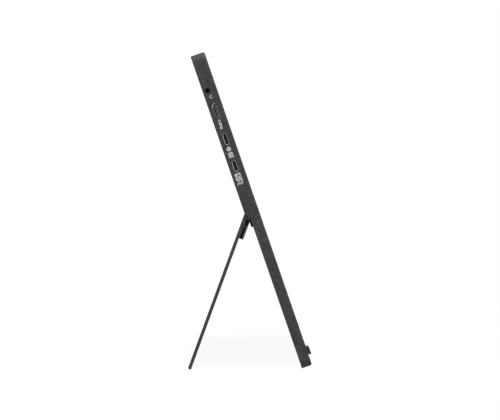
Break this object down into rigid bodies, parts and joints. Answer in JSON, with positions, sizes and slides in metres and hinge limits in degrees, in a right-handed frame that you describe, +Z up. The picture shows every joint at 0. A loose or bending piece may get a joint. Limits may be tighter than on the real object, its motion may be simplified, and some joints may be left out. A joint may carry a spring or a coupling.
{
  "type": "digital photo frame",
  "caption": "Slim flat screen in a dark case that leans on a full-width fold-out stand, with sockets in one side and sprung keys in the other.",
  "frame": {"origin": "on the floor, at the centre of the footprint of the box that holds the object with its stand open", "axes": "+Z up, the screen faces -Y, and +X is to the right seen from the front"},
  "size_m": [0.398, 0.0952, 0.2438],
  "materials": {
    "case_finish": "fine matte anodised, dark grey",
    "stand_finish": "fine matte anodised, dark grey",
    "bezel_plastic": "fine matte",
    "black_plastic": "matte",
    "key_plastic": "matte",
    "soft_rubber": "matte",
    "pad_rubber": "matte",
    "screen_glass": "low-glare glass, unlit",
    "foam": "matte",
    "adhesive": "matte",
    "tray_steel": "plain",
    "white_sheet": "matte",
    "clear_guide": "polished clear",
    "board_green": "solder mask",
    "chip_black": "matte",
    "coil_grey": "matte",
    "socket_shell": "plain",
    "socket_inner": "matte",
    "flex_film": "satin",
    "hinge_steel": "dark plated",
    "screw_steel": "plain",
    "magnet_plate": "bright plated",
    "clear_light": "frosted clear",
    "speaker_black": "matte",
    "mesh_cloth": "fine woven"
  },
  "bodies": {
    "display": {"rear_shell": "case_finish", "front_bezel": "bezel_plastic", "bezel_tape": "adhesive", "lcd_panel": "screen_glass", "panel_gasket": "foam", "backlight_tray": "tray_steel", "reflector_sheet": "white_sheet", "light_guide": "clear_guide", "optical_films": "white_sheet", "led_bar": "white_sheet", "panel_tapes": "adhesive", "source_board": "board_green", "panel_flex_films": "flex_film", "main_board": "board_green", "scaler_chip": "chip_black", "memory_chip": "chip_black", "power_inductors": "coil_grey", "board_connectors": "white_sheet", "display_cable": "flex_film", "speaker_cable": "flex_film", "key_cable": "flex_film", "headphone_jack": "socket_inner", "video_socket": "socket_shell", "video_socket_tongue": "socket_inner", "oval_socket_upper": "socket_shell", "oval_socket_lower": "socket_shell", "oval_socket_tongues": "socket_inner", "status_light": "clear_light", "status_led": "white_sheet", "key_board": "board_green", "key_switches": "chip_black", "speaker_left": "speaker_black", "speaker_right": "speaker_black", "speaker_meshes": "mesh_cloth", "hinge_base_left": "hinge_steel", "hinge_base_right": "hinge_steel", "hinge_base_screws": "screw_steel", "board_screws": "screw_steel", "case_magnets": "magnet_plate", "bottom_foot_left": "soft_rubber", "bottom_foot_right": "soft_rubber", "front_bumper_left": "soft_rubber", "front_bumper_right": "soft_rubber", "stand_pad_left": "pad_rubber", "stand_pad_right": "pad_rubber"},
    "kickstand": {"kickstand_plate": "stand_finish", "hinge_leaf_left": "hinge_steel", "hinge_leaf_right": "hinge_steel", "hinge_pin_left": "hinge_steel", "hinge_pin_right": "hinge_steel", "hinge_cover_left": "black_plastic", "hinge_cover_right": "black_plastic", "hinge_leaf_screws": "screw_steel", "stand_foot_strip": "soft_rubber", "stand_magnets": "magnet_plate"},
    "power_button": {"power_button": "key_plastic"},
    "plus_key": {"plus_key": "key_plastic"},
    "minus_key": {"minus_key": "key_plastic"}
  },
  "joints": [
    {"name": "kickstand_hinge", "type": "hinge", "parent": "display", "child": "kickstand", "pos_m": [0, 0.00151, 0.11972], "axis": [1, 0, 0], "range_deg": [-39.1, 20.9]},
    {"name": "power_button_press", "type": "slide", "parent": "display", "child": "power_button", "axis": [-1, 0, 0], "range_m": [0, 0.0004], "stiffness_N_per_m": 1500, "springref_m": -0.0008},
    {"name": "plus_key_press", "type": "slide", "parent": "display", "child": "plus_key", "axis": [-1, 0, 0], "range_m": [0, 0.0004], "stiffness_N_per_m": 1500, "springref_m": -0.0008},
    {"name": "minus_key_press", "type": "slide", "parent": "display", "child": "minus_key", "axis": [-1, 0, 0], "range_m": [0, 0.0004], "stiffness_N_per_m": 1500, "springref_m": -0.0008}
  ]
}
